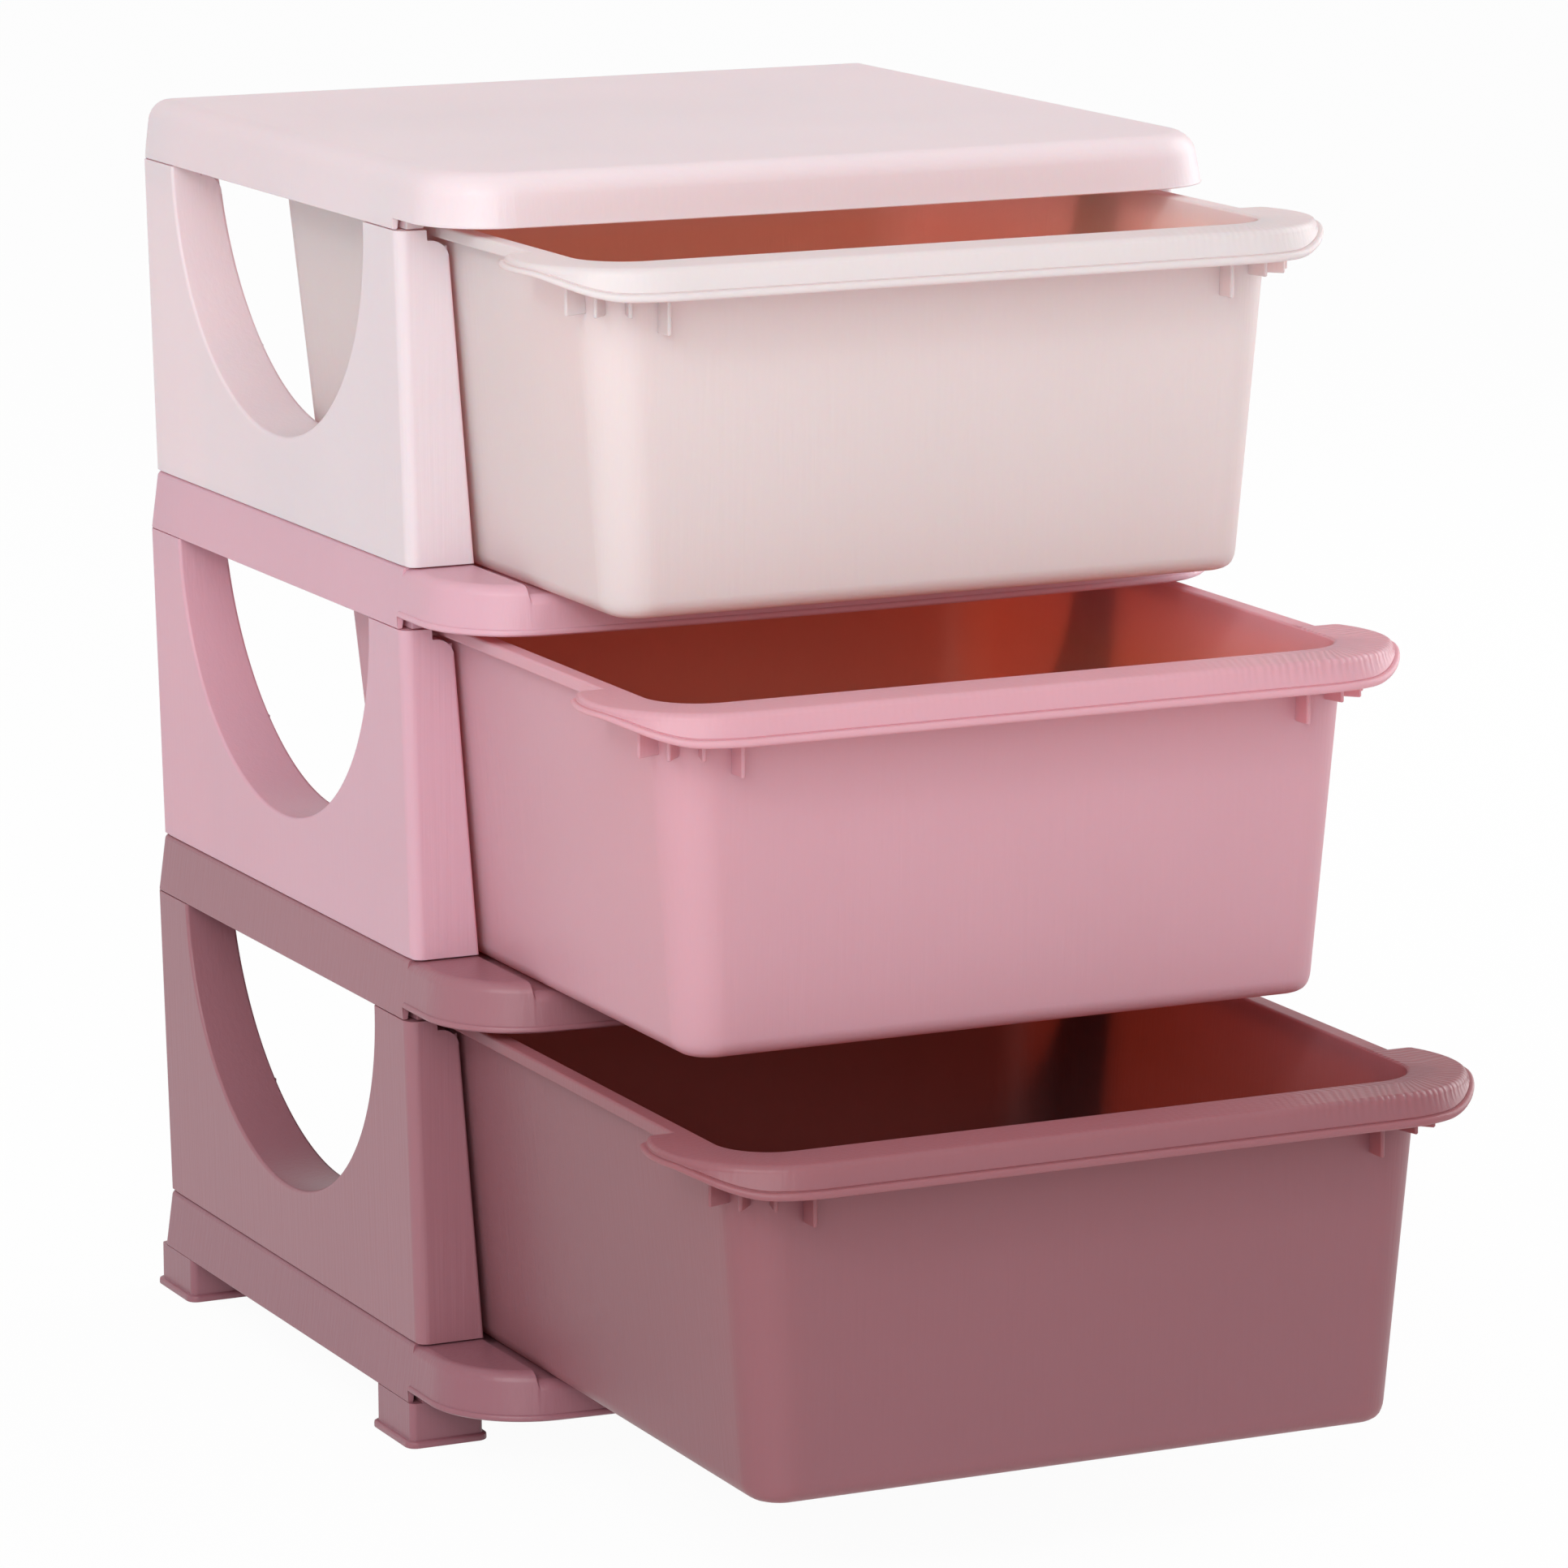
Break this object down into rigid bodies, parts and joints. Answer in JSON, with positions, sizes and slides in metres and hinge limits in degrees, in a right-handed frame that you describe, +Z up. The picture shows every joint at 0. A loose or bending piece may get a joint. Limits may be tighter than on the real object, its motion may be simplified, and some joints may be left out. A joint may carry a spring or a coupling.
{
  "type": "drawer tower",
  "caption": "Plastic storage tower of stacked frames and side panels with sliding open-topped drawers, each with a wrap-around handle rim.",
  "frame": {"origin": "on the floor, under the middle of the overall box as stored, with the drawers drawn out in steps", "axes": "+Z up, -Y the way the drawers open, +X to the right when looking along +Y at the drawers' fronts"},
  "size_m": [0.379, 0.6288, 0.565],
  "materials": {
    "pale_pink_plastic": "smooth satin, slightly translucent",
    "mid_pink_plastic": "smooth satin, slightly translucent",
    "mauve_plastic": "smooth satin",
    "base_mauve_plastic": "smooth satin"
  },
  "bodies": {
    "tower": {"top_cover": "pale_pink_plastic", "shelf_frame_upper": "mid_pink_plastic", "shelf_frame_lower": "mauve_plastic", "base_frame": "base_mauve_plastic", "side_panel_top_left": "pale_pink_plastic", "side_panel_top_right": "pale_pink_plastic", "side_panel_middle_left": "mid_pink_plastic", "side_panel_middle_right": "mid_pink_plastic", "side_panel_bottom_left": "mauve_plastic", "side_panel_bottom_right": "mauve_plastic", "foot_front_left": "base_mauve_plastic", "foot_front_right": "base_mauve_plastic", "foot_back_left": "base_mauve_plastic", "foot_back_right": "base_mauve_plastic"},
    "top_drawer": {"drawer_top": "pale_pink_plastic"},
    "middle_drawer": {"drawer_middle": "mid_pink_plastic"},
    "bottom_drawer": {"drawer_bottom": "mauve_plastic"}
  },
  "joints": [
    {"name": "top_drawer_slide", "type": "slide", "parent": "tower", "child": "top_drawer", "axis": [0, -1, 0], "range_m": [-0.097, 0.16]},
    {"name": "middle_drawer_slide", "type": "slide", "parent": "tower", "child": "middle_drawer", "axis": [0, -1, 0], "range_m": [-0.167, 0.09]},
    {"name": "bottom_drawer_slide", "type": "slide", "parent": "tower", "child": "bottom_drawer", "axis": [0, -1, 0], "range_m": [-0.234, 0.023]}
  ]
}
